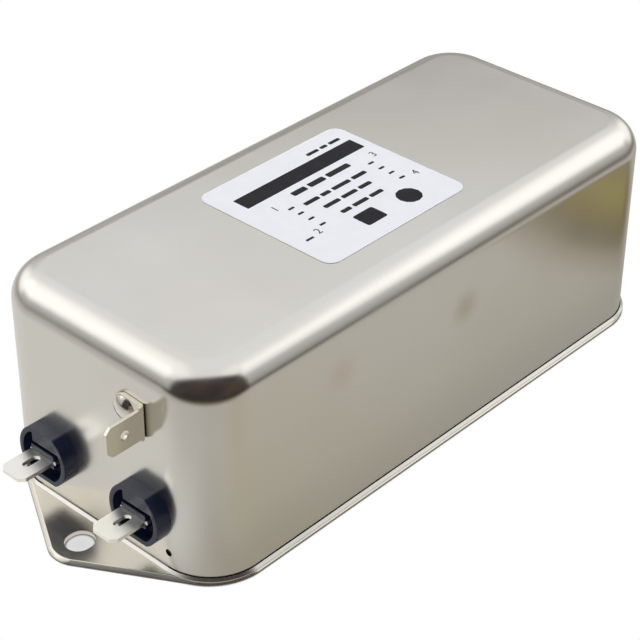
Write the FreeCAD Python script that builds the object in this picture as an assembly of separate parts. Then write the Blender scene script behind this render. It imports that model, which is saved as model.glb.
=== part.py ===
import FreeCAD, Part

import math
import os

from FreeCAD import Vector

# Mains line filter in a drawn steel can on a base plate with two ears.
# Millimetres. X runs along the can, the line end is at -X, +Z is up,
# and the origin is the middle of the underside.

# Can and base plate
can_length = 130.5
can_width = 57.2
overall_height = 45.4
can_sheet = 0.6
can_corner_radius = 11.2
can_top_radius = 6.1
flange_width = 0.7
flange_edge_radius = 0.35
plate_sheet = 0.9
plate_edge_radius = 0.3
ear_hole_reach = 5.75
ear_tip_radius = 6.0
ear_slot_width = 5.3
ear_slot_length = 5.9
pip_radius = 0.75
pip_side = 17.7
pip_height = 4.9

# Label on the roof
label_length = 39.2
label_width = 35.0
label_corner_radius = 2.6
label_film = 0.1
label_shift_x = -2.6
label_shift_y = 0.25

# Terminal bushings, two at each end
terminal_spacing = 24.6
terminal_height = 12.4
bushing_radius = 6.25
bushing_half_flat = 5.4
bushing_reach = 3.2
bushing_wall = 1.0
bushing_floor = 0.6
bushing_edge_radius = 0.2
block_left = 2.8
block_bottom = 2.25
block_recess = 0.25
lip_half_width = 3.1
lip_top = 1.55
lip_recess = 0.1
neck_radius = 4.9
neck_half_flat = 4.2
neck_reach = 3.0
neck_clearance = 0.1
hook_height = 0.6
hook_half_width = 1.5
hook_length = 1.8

# Push-on tabs in the bushings
tab_width = 6.3
tab_thickness = 0.8
tab_reach = 10.8
tab_chamfer = 1.1
tab_edge_chamfer = 0.15
tab_shoulder_width = 7.0
tab_shoulder_reach = 3.0
tab_shank_width = 4.4
tab_tail_reach = 8.0
tab_slot_start = 3.8
tab_slot_length = 3.8
tab_slot_width = 1.6
tab_clearance = 0.05

# Earth tab, its rivet and its lead
earth_side = 13.8
earth_drop = 13.2
earth_reach = 9.3
earth_chamfer = 1.2
earth_shoulder_width = 7.2
earth_shoulder_reach = 1.4
earth_bend_radius = 0.25
earth_hole_radius = 0.95
earth_hole_reach = 5.15
foot_end_radius = 2.9
rivet_side = 8.8
rivet_rise = 0.95
rivet_shank_radius = 1.6
rivet_head_radius = 2.55
rivet_head_height = 1.2
rivet_head_edge = 0.15
rivet_upset_radius = 2.8
rivet_upset_height = 0.6
rivet_clearance = 0.05
lug_radius = 3.0
lug_sheet = 0.8
lead_radius = 0.6
lead_drop = 2.2
lead_side = 3.0
lead_straight_share = 0.24
lead_slant_share = 0.42
lead_bend_radius = 1.5
lead_board_edge = 1.8

# Liner, tray and board
inner_gap = 0.2
liner_film = 0.4
liner_window_gap = 0.7
tray_floor = 0.8
post_radius = 3.0
post_edge = 3.5
peg_radius = 1.4
peg_rise = 0.8
peg_clearance = 0.1
board_sheet = 1.6
board_gap = 0.5
board_corner_radius = 9.0

# Parts on the board
part_gap = 0.75
pin_clearance = 0.1
pin_tail = 1.2
solder_height = 0.9
solder_spread = 0.8
solder_tip = 0.15

choke_seat_sheet = 1.0
choke_pad_half_width = 2.0
choke_wall = 1.2
choke_wall_rise = 1.0
core_outer_radius = 16.0
core_inner_radius = 9.0
core_height = 15.0
core_edge_radius = 1.0
core_gap = 0.15
winding_wire_radius = 0.7
winding_corner_cut = 0.5
winding_turns = 11
winding_start_angle = 18.0

capacitor_x_length = 26.5
capacitor_x_thickness = 9.0
capacitor_x_height = 22.0
capacitor_x_pitch = 22.5
capacitor_y_length = 13.0
capacitor_y_thickness = 5.0
capacitor_y_height = 11.0
capacitor_y_pitch = 10.0
capacitor_y_edge = 2.5
capacitor_edge_radius = 0.6
capacitor_pin_radius = 0.4

resistor_radius = 1.7
resistor_length = 9.0
resistor_waist = 0.2
resistor_end_length = 1.6
resistor_pitch = 13.0
resistor_pin_radius = 0.35
resistor_bend_radius = 1.0
resistor_edge = 5.0
resistor_shift = 8.0

resin_gap = 0.25
resin_side_gap = 0.1

# Levels and reaches that follow from the sizes above
plate_top = plate_sheet
flange_top = plate_top + can_sheet
tray_top = plate_top + tray_floor
board_top = terminal_height - tab_thickness / 2
board_bottom = board_top - board_sheet
pin_end = board_bottom - pin_tail
roof_inside = overall_height - can_sheet
half_length = can_length / 2
ear_hole_spacing = can_length + 2 * ear_hole_reach
inside_length = can_length - 2 * can_sheet
inside_width = can_width - 2 * can_sheet
inside_radius = can_corner_radius - can_sheet
liner_inside = inner_gap + liner_film
board_length = can_length - 2 * (neck_reach + board_gap)
board_width = inside_width - 2 * (liner_inside + board_gap)
tail_end_x = half_length - tab_tail_reach
capacitor_end_x = tail_end_x - part_gap - capacitor_x_thickness / 2
choke_x = capacitor_end_x / 2
seat_top = board_top + choke_seat_sheet
winding_inner_radius = core_inner_radius - core_gap - winding_wire_radius
winding_outer_radius = core_outer_radius + core_gap + winding_wire_radius
core_bottom = seat_top + 2 * (core_gap + winding_wire_radius)
core_top = core_bottom + core_height
winding_top = core_top + core_gap + 2 * winding_wire_radius
capacitor_y_y = board_width / 2 - capacitor_y_edge - capacitor_y_thickness / 2
resistor_y = board_width / 2 - resistor_edge
resistor_x = resistor_shift - capacitor_end_x
resistor_axis_z = board_top + resistor_radius
post_y = board_width / 2 - post_edge
earth_height = overall_height - earth_drop
rivet_z = earth_height + rivet_rise
bushing_hole_reach = bushing_reach + 1.0
cut_margin = 1.0


def prism(outline, z0, z1):
    """Solid between two levels from a closed wire drawn at level zero."""
    face = Part.Face(outline)
    face.translate(Vector(0, 0, z0))
    return face.extrude(Vector(0, 0, z1 - z0))


def rounded_outline(length, width, radius):
    """Closed wire of a rectangle about the origin with round corners."""
    x = length / 2
    y = width / 2
    edges = []
    for sx, sy, start in ((1, 1, 0), (-1, 1, 90), (-1, -1, 180), (1, -1, 270)):
        centre = Vector(sx * (x - radius), sy * (y - radius), 0)
        edges.append(Part.makeCircle(radius, centre, Vector(0, 0, 1), start, start + 90))
    joined = []
    for i in range(4):
        joined.append(edges[i])
        a = edges[i].Vertexes[-1].Point
        b = edges[(i + 1) % 4].Vertexes[0].Point
        if (a - b).Length > 1e-6:
            joined.append(Part.LineSegment(a, b).toShape())
    return Part.Wire(Part.__sortEdges__(joined))


def rounded_block(length, width, radius, z0, z1):
    return prism(rounded_outline(length, width, radius), z0, z1)


def box(x0, x1, y0, y1, z0, z1):
    return Part.makeBox(x1 - x0, y1 - y0, z1 - z0, Vector(x0, y0, z0))


def rod_x(x0, x1, y, z, radius):
    return Part.makeCylinder(radius, x1 - x0, Vector(x0, y, z), Vector(1, 0, 0))


def rod_z(x, y, z0, z1, radius):
    return Part.makeCylinder(radius, z1 - z0, Vector(x, y, z0), Vector(0, 0, 1))


def edges_at_top(shape, z):
    return [e for e in shape.Edges if abs(e.BoundBox.ZMin - z) < 1e-6 and abs(e.BoundBox.ZMax - z) < 1e-6]


def domed_block(length, width, radius, z0, z1, top_radius):
    """Rounded block with its roof edge rounded too."""
    block = rounded_block(length, width, radius, z0, z1)
    return block.makeFillet(top_radius, edges_at_top(block, z1))


def double_d(radius, half_flat, x0, x1):
    """Round bar along X about the origin, cut flat above and below."""
    bar = rod_x(x0, x1, 0, 0, radius)
    return bar.common(box(x0, x1, -radius, radius, -half_flat, half_flat))


def rounded_path(points, radius):
    """Straight runs joined by tangent arcs."""
    edges = []
    start = points[0]
    for before, corner, after in zip(points, points[1:], points[2:]):
        back = (before - corner).normalize()
        ahead = (after - corner).normalize()
        half_angle = back.getAngle(ahead) / 2
        cut = radius / math.tan(half_angle)
        first = corner + back * cut
        last = corner + ahead * cut
        middle = corner + (back + ahead).normalize() * (radius / math.sin(half_angle) - radius)
        edges.append(Part.LineSegment(start, first).toShape())
        edges.append(Part.Arc(first, middle, last).toShape())
        start = last
    edges.append(Part.LineSegment(start, points[-1]).toShape())
    return Part.Wire(edges)


def wire_solid(points, wire_radius, bend_radius):
    circle = Part.makeCircle(wire_radius, points[0], points[1] - points[0])
    return rounded_path(points, bend_radius).makePipe(Part.Face(Part.Wire(circle)))


def mitred_wire_solid(points, wire_radius, corner_cut):
    """Wire whose bends are two mitres each, lighter to mesh than arcs."""
    route = [points[0]]
    for before, corner, after in zip(points, points[1:], points[2:]):
        route.append(corner + (before - corner).normalize() * corner_cut)
        route.append(corner + (after - corner).normalize() * corner_cut)
    route.append(points[-1])
    circle = Part.Wire(Part.makeCircle(wire_radius, route[0], route[1] - route[0]))
    right_corners = 1
    return Part.Wire(Part.makePolygon(route)).makePipeShell([circle], True, False, right_corners)


def turned(shape):
    """Half a turn about Z, from the load end to the line end."""
    copy = shape.copy()
    copy.rotate(Vector(0, 0, 0), Vector(0, 0, 1), 180)
    return copy


def terminal_places():
    """Name and side of each terminal as seen by someone facing that end."""
    for end in ("line", "load"):
        for hand, side in (("left", -1), ("right", 1)):
            yield end, hand, side * terminal_spacing / 2


def at_terminal(shape, end, side):
    placed = shape.copy()
    placed.translate(Vector(half_length, side, terminal_height))
    return turned(placed) if end == "line" else placed


# Sheet metal

def bushing_hole():
    return double_d(neck_radius + neck_clearance, neck_half_flat + neck_clearance,
                    -bushing_hole_reach, bushing_hole_reach)


def make_can():
    outside = domed_block(can_length, can_width, can_corner_radius, plate_top, overall_height,
                          can_top_radius)
    flange = rounded_block(can_length + 2 * flange_width, can_width + 2 * flange_width,
                           can_corner_radius + flange_width, plate_top, flange_top)
    flange = flange.makeFillet(flange_edge_radius, edges_at_top(flange, flange_top))
    inside = domed_block(inside_length, inside_width, inside_radius, plate_top - cut_margin,
                         roof_inside, can_top_radius - can_sheet)
    can = outside.fuse(flange).cut(inside)
    for end, hand, side in terminal_places():
        can = can.cut(at_terminal(bushing_hole(), end, side))
    wall_start = -half_length - cut_margin
    wall_end = -half_length + can_sheet + cut_margin
    can = can.cut(rod_x(wall_start, wall_end, -rivet_side, rivet_z, rivet_shank_radius + rivet_clearance))
    can = can.cut(rod_x(wall_start, wall_end, -pip_side, pip_height, pip_radius))
    return can.removeSplitter()


def plate_outline():
    """Four corner arcs and two ear tips joined by their common tangents."""
    corner_radius = can_corner_radius + flange_width
    corner = Vector(half_length - can_corner_radius, can_width / 2 - can_corner_radius, 0)
    tip = Vector(ear_hole_spacing / 2, 0, 0)
    along = tip - corner
    lean = math.acos((corner_radius - ear_tip_radius) / along.Length)
    heading = math.atan2(along.y, along.x)
    normal = Vector(math.cos(heading + lean), math.sin(heading + lean), 0)
    on_side = corner + Vector(0, corner_radius, 0)
    on_corner = corner + normal * corner_radius
    corner_mid = corner + (normal + Vector(0, 1, 0)).normalize() * corner_radius
    on_tip = tip + normal * ear_tip_radius
    tip_mid = tip + Vector(ear_tip_radius, 0, 0)

    def flip(point, sx, sy):
        return Vector(sx * point.x, sy * point.y, 0)

    edges = []
    for sx in (1, -1):
        for sy in (1, -1):
            edges.append(Part.Arc(flip(on_side, sx, sy), flip(corner_mid, sx, sy),
                                  flip(on_corner, sx, sy)).toShape())
            edges.append(Part.LineSegment(flip(on_corner, sx, sy), flip(on_tip, sx, sy)).toShape())
        edges.append(Part.Arc(flip(on_tip, sx, 1), flip(tip_mid, sx, 1), flip(on_tip, sx, -1)).toShape())
    for sy in (1, -1):
        edges.append(Part.LineSegment(flip(on_side, 1, sy), flip(on_side, -1, sy)).toShape())
    return Part.Wire(Part.__sortEdges__(edges))


def make_base_plate():
    plate = prism(plate_outline(), 0, plate_sheet)
    plate = plate.makeFillet(plate_edge_radius, edges_at_top(plate, plate_sheet))
    slot = rounded_block(ear_slot_length, ear_slot_width, ear_slot_width / 2 - 1e-4,
                         -cut_margin, plate_sheet + cut_margin)
    for sx in (1, -1):
        hole = slot.copy()
        hole.translate(Vector(sx * ear_hole_spacing / 2, 0, 0))
        plate = plate.cut(hole)
    return plate


def make_label():
    label = rounded_block(label_length, label_width, label_corner_radius, overall_height,
                          overall_height + label_film)
    label.translate(Vector(label_shift_x, label_shift_y, 0))
    return label


# Terminals, drawn at the load end about the middle of the bushing, X outward

def front_edges(shape, x):
    return [e for e in shape.Edges if abs(e.BoundBox.XMin - x) < 1e-6 and abs(e.BoundBox.XMax - x) < 1e-6]


def make_bushing():
    cup = double_d(bushing_radius, bushing_half_flat, 0, bushing_reach)
    cup = cup.makeFillet(bushing_edge_radius, front_edges(cup, bushing_reach))
    mouth_radius = bushing_radius - bushing_wall
    mouth_half_flat = bushing_half_flat - bushing_wall
    cup = cup.cut(double_d(mouth_radius, mouth_half_flat, bushing_floor, bushing_reach + cut_margin))

    filled = double_d(mouth_radius + bushing_wall / 2, mouth_half_flat + bushing_wall / 2, 0,
                      bushing_reach - block_recess)
    block = filled.common(box(0, bushing_reach, -block_left, bushing_radius, block_bottom, bushing_radius))

    slot_half = tab_thickness / 2 + tab_clearance
    lip_front = bushing_reach - lip_recess
    upper_lip = box(0, lip_front, -lip_half_width, lip_half_width, slot_half, lip_top)
    lower_lip = box(0, lip_front, -lip_half_width, lip_half_width, -lip_top, -slot_half)

    neck = double_d(neck_radius, neck_half_flat, -neck_reach, bushing_floor)
    body = cup.fuse([block, upper_lip, lower_lip, neck])

    hook_start = -can_sheet - neck_clearance
    for sz in (1, -1):
        corners = [Vector(hook_start, -hook_half_width, sz * (neck_half_flat - hook_height)),
                   Vector(hook_start, -hook_half_width, sz * (neck_half_flat + hook_height)),
                   Vector(hook_start - hook_length, -hook_half_width, sz * neck_half_flat),
                   Vector(hook_start - hook_length, -hook_half_width, sz * (neck_half_flat - hook_height))]
        face = Part.Face(Part.makePolygon(corners + corners[:1]))
        body = body.fuse(face.extrude(Vector(0, 2 * hook_half_width, 0)))

    shank_half = tab_shank_width / 2 + tab_clearance
    body = body.cut(box(-neck_reach - cut_margin, bushing_reach, -shank_half, shank_half,
                        -slot_half, slot_half))
    return body.removeSplitter()


def make_tab():
    half = tab_width / 2
    shoulder = tab_shoulder_width / 2
    shank = tab_shank_width / 2
    shoulder_back = bushing_floor + tab_clearance
    upper = [(-tab_tail_reach, shank), (shoulder_back, shank), (shoulder_back, shoulder),
             (tab_shoulder_reach, shoulder), (tab_shoulder_reach, half),
             (tab_reach - tab_chamfer, half), (tab_reach, half - tab_chamfer)]
    points = [Vector(x, y, 0) for x, y in upper]
    points += [Vector(x, -y, 0) for x, y in reversed(upper)]
    tab = prism(Part.makePolygon(points + points[:1]), -tab_thickness / 2, tab_thickness / 2)
    tip_edges = [e for e in tab.Edges
                 if e.BoundBox.XMin > tab_reach - tab_chamfer - 1e-6 and e.BoundBox.ZLength < 1e-6]
    tab = tab.makeChamfer(tab_edge_chamfer, tip_edges)
    slot = rounded_block(tab_slot_length, tab_slot_width, tab_slot_width / 2 - 1e-4,
                         -tab_thickness, tab_thickness)
    slot.translate(Vector(tab_slot_start + tab_slot_length / 2, 0, 0))
    return tab.cut(slot)


# Earth tab, drawn in place at the line end

def tangent_point(outer_y, outer_z, centre_y, centre_z, radius, turn):
    """Where a line from a point touches a circle, on the chosen side."""
    away = Vector(0, outer_y - centre_y, outer_z - centre_z)
    heading = math.atan2(away.z, away.y)
    spread = math.acos(radius / away.Length)
    angle = heading + turn * spread
    return Vector(0, centre_y + radius * math.cos(angle), centre_z + radius * math.sin(angle))


def make_earth_tab():
    face_x = -half_length
    bend_outer = earth_bend_radius + tab_thickness
    bend_x = face_x - bend_outer
    bend_y = -earth_side + bend_outer
    low = earth_height - earth_shoulder_width / 2
    high = earth_height + earth_shoulder_width / 2

    top_touch = tangent_point(bend_y, high, -rivet_side, rivet_z, foot_end_radius, -1)
    low_touch = tangent_point(bend_y, low, -rivet_side, rivet_z, foot_end_radius, 1)
    far_side = Vector(0, -rivet_side + foot_end_radius, rivet_z)
    outline = Part.Wire([Part.LineSegment(Vector(0, bend_y, low), Vector(0, bend_y, high)).toShape(),
                         Part.LineSegment(Vector(0, bend_y, high), top_touch).toShape(),
                         Part.Arc(top_touch, far_side, low_touch).toShape(),
                         Part.LineSegment(low_touch, Vector(0, bend_y, low)).toShape()])
    foot = Part.Face(outline).extrude(Vector(-tab_thickness, 0, 0))
    foot.translate(Vector(face_x, 0, 0))
    foot = foot.cut(rod_x(face_x - tab_thickness - cut_margin, face_x + cut_margin, -rivet_side,
                          rivet_z, rivet_shank_radius + rivet_clearance))

    centre = Vector(bend_x, bend_y, low)
    bend = Part.makeCylinder(bend_outer, high - low, centre, Vector(0, 0, 1))
    bend = bend.cut(Part.makeCylinder(earth_bend_radius, high - low, centre, Vector(0, 0, 1)))
    bend = bend.common(box(bend_x, face_x, -earth_side, bend_y, low, high))

    half = tab_width / 2
    shoulder = earth_shoulder_width / 2
    tip_x = face_x - earth_reach
    shoulder_x = face_x - earth_shoulder_reach
    upper = [(bend_x, shoulder), (shoulder_x, shoulder), (shoulder_x, half),
             (tip_x + earth_chamfer, half), (tip_x, half - earth_chamfer)]
    points = [Vector(x, 0, z) for x, z in upper]
    points += [Vector(x, 0, -z) for x, z in reversed(upper)]
    blade = Part.Face(Part.makePolygon(points + points[:1])).extrude(Vector(0, tab_thickness, 0))
    hole = Part.makeCylinder(earth_hole_radius, 3 * tab_thickness,
                             Vector(face_x - earth_hole_reach, -tab_thickness, 0), Vector(0, 1, 0))
    blade = blade.cut(hole)
    blade.translate(Vector(0, -earth_side, earth_height))
    return foot.fuse([bend, blade]).removeSplitter()


def make_earth_rivet():
    """Turned section about X, sizes measured outward from the can's face."""
    head_back = tab_thickness
    head_edge = head_back + rivet_head_edge
    head_front = head_back + rivet_head_height
    upset_front = -can_sheet - lug_sheet
    upset_back = upset_front - rivet_upset_height
    section = [(0, upset_back), (rivet_upset_radius, upset_back), (rivet_upset_radius, upset_front),
               (rivet_shank_radius, upset_front), (rivet_shank_radius, head_back),
               (rivet_head_radius, head_back), (rivet_head_radius, head_edge)]
    points = [Vector(x, r, 0) for r, x in section]
    edges = [Part.LineSegment(a, b).toShape() for a, b in zip(points, points[1:])]
    dome_rise = head_front - head_edge
    dome_radius = (rivet_head_radius ** 2 + dome_rise ** 2) / (2 * dome_rise)
    half_turn = math.asin(rivet_head_radius / dome_radius) / 2
    dome_middle = Vector(head_front - dome_radius + dome_radius * math.cos(half_turn),
                         dome_radius * math.sin(half_turn), 0)
    top = Vector(head_front, 0, 0)
    edges.append(Part.Arc(points[-1], dome_middle, top).toShape())
    edges.append(Part.LineSegment(top, points[0]).toShape())
    rivet = Part.Face(Part.Wire(edges)).revolve(Vector(0, 0, 0), Vector(1, 0, 0), 360)
    rivet.translate(Vector(half_length, rivet_side, rivet_z))
    return turned(rivet)


def lead_points():
    lug_inside = -half_length + can_sheet + lug_sheet
    run_x = lug_inside + lead_radius
    start_z = rivet_z - lead_drop
    entry_z = board_top + lead_bend_radius + lead_radius
    bend_z = start_z - lead_straight_share * (start_z - entry_z)
    low_z = bend_z - lead_slant_share * (start_z - entry_z)
    board_x = -board_length / 2 + lead_board_edge
    return [Vector(run_x, -rivet_side, start_z), Vector(run_x, -rivet_side, bend_z),
            Vector(run_x, -lead_side, low_z), Vector(board_x, -lead_side, entry_z),
            Vector(board_x, -lead_side, pin_end)]


def make_earth_lead():
    lug_outside = -half_length + can_sheet
    lug_inside = lug_outside + lug_sheet
    lug = rod_x(lug_outside, lug_inside, -rivet_side, rivet_z, lug_radius)
    start_z = rivet_z - lead_drop
    crimp = box(lug_inside - lug_sheet / 2, lug_inside + 2 * lead_radius, -rivet_side - 2 * lead_radius,
                -rivet_side + 2 * lead_radius, rivet_z - lug_radius, start_z)
    bore = rod_x(lug_outside - cut_margin, lug_inside + cut_margin + rivet_upset_height, -rivet_side,
                 rivet_z, rivet_shank_radius + rivet_clearance)
    upset_room = rod_x(lug_inside, lug_inside + rivet_upset_height + cut_margin, -rivet_side, rivet_z,
                       rivet_upset_radius + rivet_clearance)
    lead = wire_solid(lead_points(), lead_radius, lead_bend_radius)
    joined = lug.fuse(crimp).fuse(lead)
    return joined.cut(bore).cut(upset_room).removeSplitter()


# Insulation and board

def make_liner():
    outside = domed_block(inside_length - 2 * inner_gap, inside_width - 2 * inner_gap,
                          inside_radius - inner_gap, tray_top, roof_inside - inner_gap,
                          can_top_radius - can_sheet - inner_gap)
    hollow = domed_block(inside_length - 2 * liner_inside, inside_width - 2 * liner_inside,
                         inside_radius - liner_inside, tray_top - cut_margin,
                         roof_inside - liner_inside, can_top_radius - can_sheet - liner_inside)
    liner = outside.cut(hollow)
    window = rod_x(-neck_reach - cut_margin, cut_margin, 0, 0, neck_radius + liner_window_gap)
    for end, hand, side in terminal_places():
        liner = liner.cut(at_terminal(window, end, side))
    rivet_window = rod_x(-half_length, -half_length + neck_reach, -rivet_side, rivet_z,
                         lug_radius + liner_window_gap)
    return liner.cut(rivet_window)


def post_places():
    return [(sx * choke_x, sy * post_y) for sx in (1, -1) for sy in (1, -1)]


def make_tray():
    tray = rounded_block(inside_length - 2 * inner_gap, inside_width - 2 * inner_gap,
                         inside_radius - inner_gap, plate_top, tray_top)
    posts = []
    for x, y in post_places():
        posts.append(rod_z(x, y, plate_top, board_bottom, post_radius))
        posts.append(rod_z(x, y, plate_top, board_top + peg_rise, peg_radius))
    return tray.fuse(posts).removeSplitter()


def winding_point(radius, angle, z, choke_centre):
    turn = math.radians(angle)
    return Vector(choke_centre + radius * math.cos(turn), radius * math.sin(turn), z)


def winding_points(choke_centre, half_turn):
    """Route of one winding about the core, from lead to lead."""
    span = 180 - 2 * winding_start_angle
    step = span / winding_turns
    high = core_top + core_gap + winding_wire_radius
    low = core_bottom - core_gap - winding_wire_radius
    first = winding_start_angle + half_turn
    points = [winding_point(winding_outer_radius, first, pin_end, choke_centre)]
    for i in range(winding_turns):
        outer = first + i * step
        inner = outer + step / 2
        points.append(winding_point(winding_outer_radius, outer, high, choke_centre))
        points.append(winding_point(winding_inner_radius, inner, high, choke_centre))
        points.append(winding_point(winding_inner_radius, inner, low, choke_centre))
        points.append(winding_point(winding_outer_radius, outer + step, low, choke_centre))
    points.append(winding_point(winding_outer_radius, first + span, pin_end, choke_centre))
    return points


def make_winding(choke_centre, half_turn):
    return mitred_wire_solid(winding_points(choke_centre, half_turn), winding_wire_radius,
                             winding_corner_cut)


def make_core(choke_centre):
    ring = rod_z(choke_centre, 0, core_bottom, core_top, core_outer_radius)
    ring = ring.cut(rod_z(choke_centre, 0, core_bottom, core_top, core_inner_radius))
    rims = [e for e in ring.Edges if e.BoundBox.ZLength < 1e-6]
    return ring.makeFillet(core_edge_radius, rims)


def make_choke_base(choke_centre):
    seat_radius = winding_outer_radius - winding_wire_radius - core_gap
    seat = rod_z(choke_centre, 0, board_top, seat_top, seat_radius)
    wall_half = core_inner_radius - core_gap
    wall = box(choke_centre - wall_half, choke_centre + wall_half, -choke_wall / 2, choke_wall / 2,
               board_top, core_top + choke_wall_rise)
    pads = []
    for side in (1, -1):
        near = core_inner_radius + core_edge_radius
        far = core_outer_radius - core_edge_radius
        x0 = choke_centre + min(side * near, side * far)
        pads.append(box(x0, x0 + far - near, -choke_pad_half_width, choke_pad_half_width, board_top,
                        core_bottom))
    return seat.fuse([wall] + pads).removeSplitter()


def make_capacitor(x, y, size_x, size_y, height, pins):
    body = box(x - size_x / 2, x + size_x / 2, y - size_y / 2, y + size_y / 2, board_top,
               board_top + height)
    rounded = [e for e in body.Edges if e.BoundBox.ZMax > board_top + 1e-6]
    body = body.makeFillet(capacitor_edge_radius, rounded)
    legs = [rod_z(px, py, pin_end, board_top + capacitor_pin_radius, capacitor_pin_radius)
            for px, py in pins]
    return body.fuse(legs)


def capacitor_x_pins(x):
    return [(x, side * capacitor_x_pitch / 2) for side in (1, -1)]


def capacitor_y_pins(y):
    return [(side * capacitor_y_pitch / 2, y) for side in (1, -1)]


def make_capacitor_x(x):
    return make_capacitor(x, 0, capacitor_x_thickness, capacitor_x_length, capacitor_x_height,
                          capacitor_x_pins(x))


def make_capacitor_y(y):
    return make_capacitor(0, y, capacitor_y_length, capacitor_y_thickness, capacitor_y_height,
                          capacitor_y_pins(y))


def resistor_pins():
    return [(resistor_x + side * resistor_pitch / 2, resistor_y) for side in (1, -1)]


def make_resistor():
    half = resistor_length / 2
    waist = rod_x(resistor_x - half, resistor_x + half, resistor_y, resistor_axis_z,
                  resistor_radius - resistor_waist)
    ends = [rod_x(resistor_x - half, resistor_x - half + resistor_end_length, resistor_y, resistor_axis_z,
                  resistor_radius),
            rod_x(resistor_x + half - resistor_end_length, resistor_x + half, resistor_y, resistor_axis_z,
                  resistor_radius)]
    first, last = resistor_pins()
    route = [Vector(first[0], first[1], pin_end), Vector(first[0], first[1], resistor_axis_z),
             Vector(last[0], last[1], resistor_axis_z), Vector(last[0], last[1], pin_end)]
    leads = wire_solid(route, resistor_pin_radius, resistor_bend_radius)
    return waist.fuse(ends + [leads]).removeSplitter()


def chokes():
    return (("line", -choke_x), ("load", choke_x))


def all_pins():
    """Place and radius of every wire end that goes through the board."""
    pins = []
    for name, centre in chokes():
        for half_turn in (0, 180):
            for angle in (winding_start_angle, 180 - winding_start_angle):
                point = winding_point(winding_outer_radius, angle + half_turn, 0, centre)
                pins.append((point.x, point.y, winding_wire_radius))
    for x in (-capacitor_end_x, 0, capacitor_end_x):
        pins += [(px, py, capacitor_pin_radius) for px, py in capacitor_x_pins(x)]
    for side in (1, -1):
        pins += [(px, py, capacitor_pin_radius) for px, py in capacitor_y_pins(side * capacitor_y_y)]
    pins += [(px, py, resistor_pin_radius) for px, py in resistor_pins()]
    lead_end = lead_points()[-1]
    pins.append((lead_end.x, lead_end.y, lead_radius))
    return pins


def make_board():
    board = rounded_block(board_length, board_width, board_corner_radius, board_bottom, board_top)
    drills = [rod_z(x, y, board_bottom - cut_margin, board_top + cut_margin, radius + pin_clearance)
              for x, y, radius in all_pins()]
    drills += [rod_z(x, y, board_bottom - cut_margin, board_top + cut_margin, peg_radius + peg_clearance)
               for x, y in post_places()]
    return board.cut(drills)


def make_solder_joints():
    joints = []
    for x, y, radius in all_pins():
        low = board_bottom - solder_height
        cone = Part.makeCone(radius + solder_tip, radius + solder_spread, solder_height, Vector(x, y, low))
        joints.append(cone.cut(rod_z(x, y, low - cut_margin, board_bottom + cut_margin, radius)))
    return Part.makeCompound(joints)


def rivet_plug():
    """The rivet's inner end and the room round its shank, which the resin doesn't reach."""
    upset_back = -half_length + can_sheet + lug_sheet + rivet_upset_height
    return rod_x(-half_length, upset_back, -rivet_side, rivet_z, rivet_upset_radius)


def make_resin(embedded):
    side = liner_inside + resin_side_gap
    slab = domed_block(inside_length - 2 * side, inside_width - 2 * side, inside_radius - side,
                       winding_top + resin_gap, roof_inside - liner_inside - resin_side_gap,
                       can_top_radius - can_sheet - side)
    return slab.cut(embedded)


def build():
    nodes = {"can": make_can(), "base_plate": make_base_plate(), "rating_label": make_label()}
    bushing = make_bushing()
    tab = make_tab()
    for end, hand, side in terminal_places():
        nodes["bushing_%s_%s" % (end, hand)] = at_terminal(bushing, end, side)
        nodes["tab_%s_%s" % (end, hand)] = at_terminal(tab, end, side)
    nodes["earth_tab"] = make_earth_tab()
    nodes["earth_rivet"] = make_earth_rivet()
    nodes["earth_lead"] = make_earth_lead()
    nodes["insulating_liner"] = make_liner()
    nodes["board_tray"] = make_tray()
    nodes["circuit_board"] = make_board()
    for name, centre in chokes():
        nodes["choke_base_" + name] = make_choke_base(centre)
        nodes["choke_core_" + name] = make_core(centre)
        nodes["winding_%s_left" % name] = make_winding(centre, 0)
        nodes["winding_%s_right" % name] = make_winding(centre, 180)
    capacitors = {"capacitor_x_line": make_capacitor_x(-capacitor_end_x),
                  "capacitor_x_middle": make_capacitor_x(0),
                  "capacitor_x_load": make_capacitor_x(capacitor_end_x)}
    nodes.update(capacitors)
    nodes["capacitor_y_left"] = make_capacitor_y(capacitor_y_y)
    nodes["capacitor_y_right"] = make_capacitor_y(-capacitor_y_y)
    nodes["bleed_resistor"] = make_resistor()
    nodes["solder_joints"] = make_solder_joints()
    nodes["resin_fill"] = make_resin(list(capacitors.values()) + [rivet_plug(), nodes["earth_lead"]])
    return nodes


def main():
    os.makedirs("parts", exist_ok=True)
    for name, shape in build().items():
        shape.exportStep("parts/%s.step" % name)


main()
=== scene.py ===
import math

import bmesh
import bpy
from mathutils import Matrix, Quaternion, Vector


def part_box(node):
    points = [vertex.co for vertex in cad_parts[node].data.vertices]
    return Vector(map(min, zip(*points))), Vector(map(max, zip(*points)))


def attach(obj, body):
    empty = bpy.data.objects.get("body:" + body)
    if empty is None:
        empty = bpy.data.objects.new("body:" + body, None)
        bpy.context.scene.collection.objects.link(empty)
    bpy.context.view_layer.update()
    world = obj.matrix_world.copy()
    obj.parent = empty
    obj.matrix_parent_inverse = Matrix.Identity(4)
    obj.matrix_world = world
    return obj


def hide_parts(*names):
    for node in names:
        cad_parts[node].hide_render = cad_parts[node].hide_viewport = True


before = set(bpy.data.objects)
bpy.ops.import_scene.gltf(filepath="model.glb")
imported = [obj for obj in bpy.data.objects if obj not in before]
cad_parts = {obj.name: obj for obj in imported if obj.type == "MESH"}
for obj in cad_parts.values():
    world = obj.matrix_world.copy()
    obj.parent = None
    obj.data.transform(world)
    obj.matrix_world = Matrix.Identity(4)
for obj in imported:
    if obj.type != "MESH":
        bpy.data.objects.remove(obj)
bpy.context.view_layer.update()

# Mains line filter in a satin nickel can. Metres; X runs along the can,
# the line end is at -X, and the origin is the middle of the underside.

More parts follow.
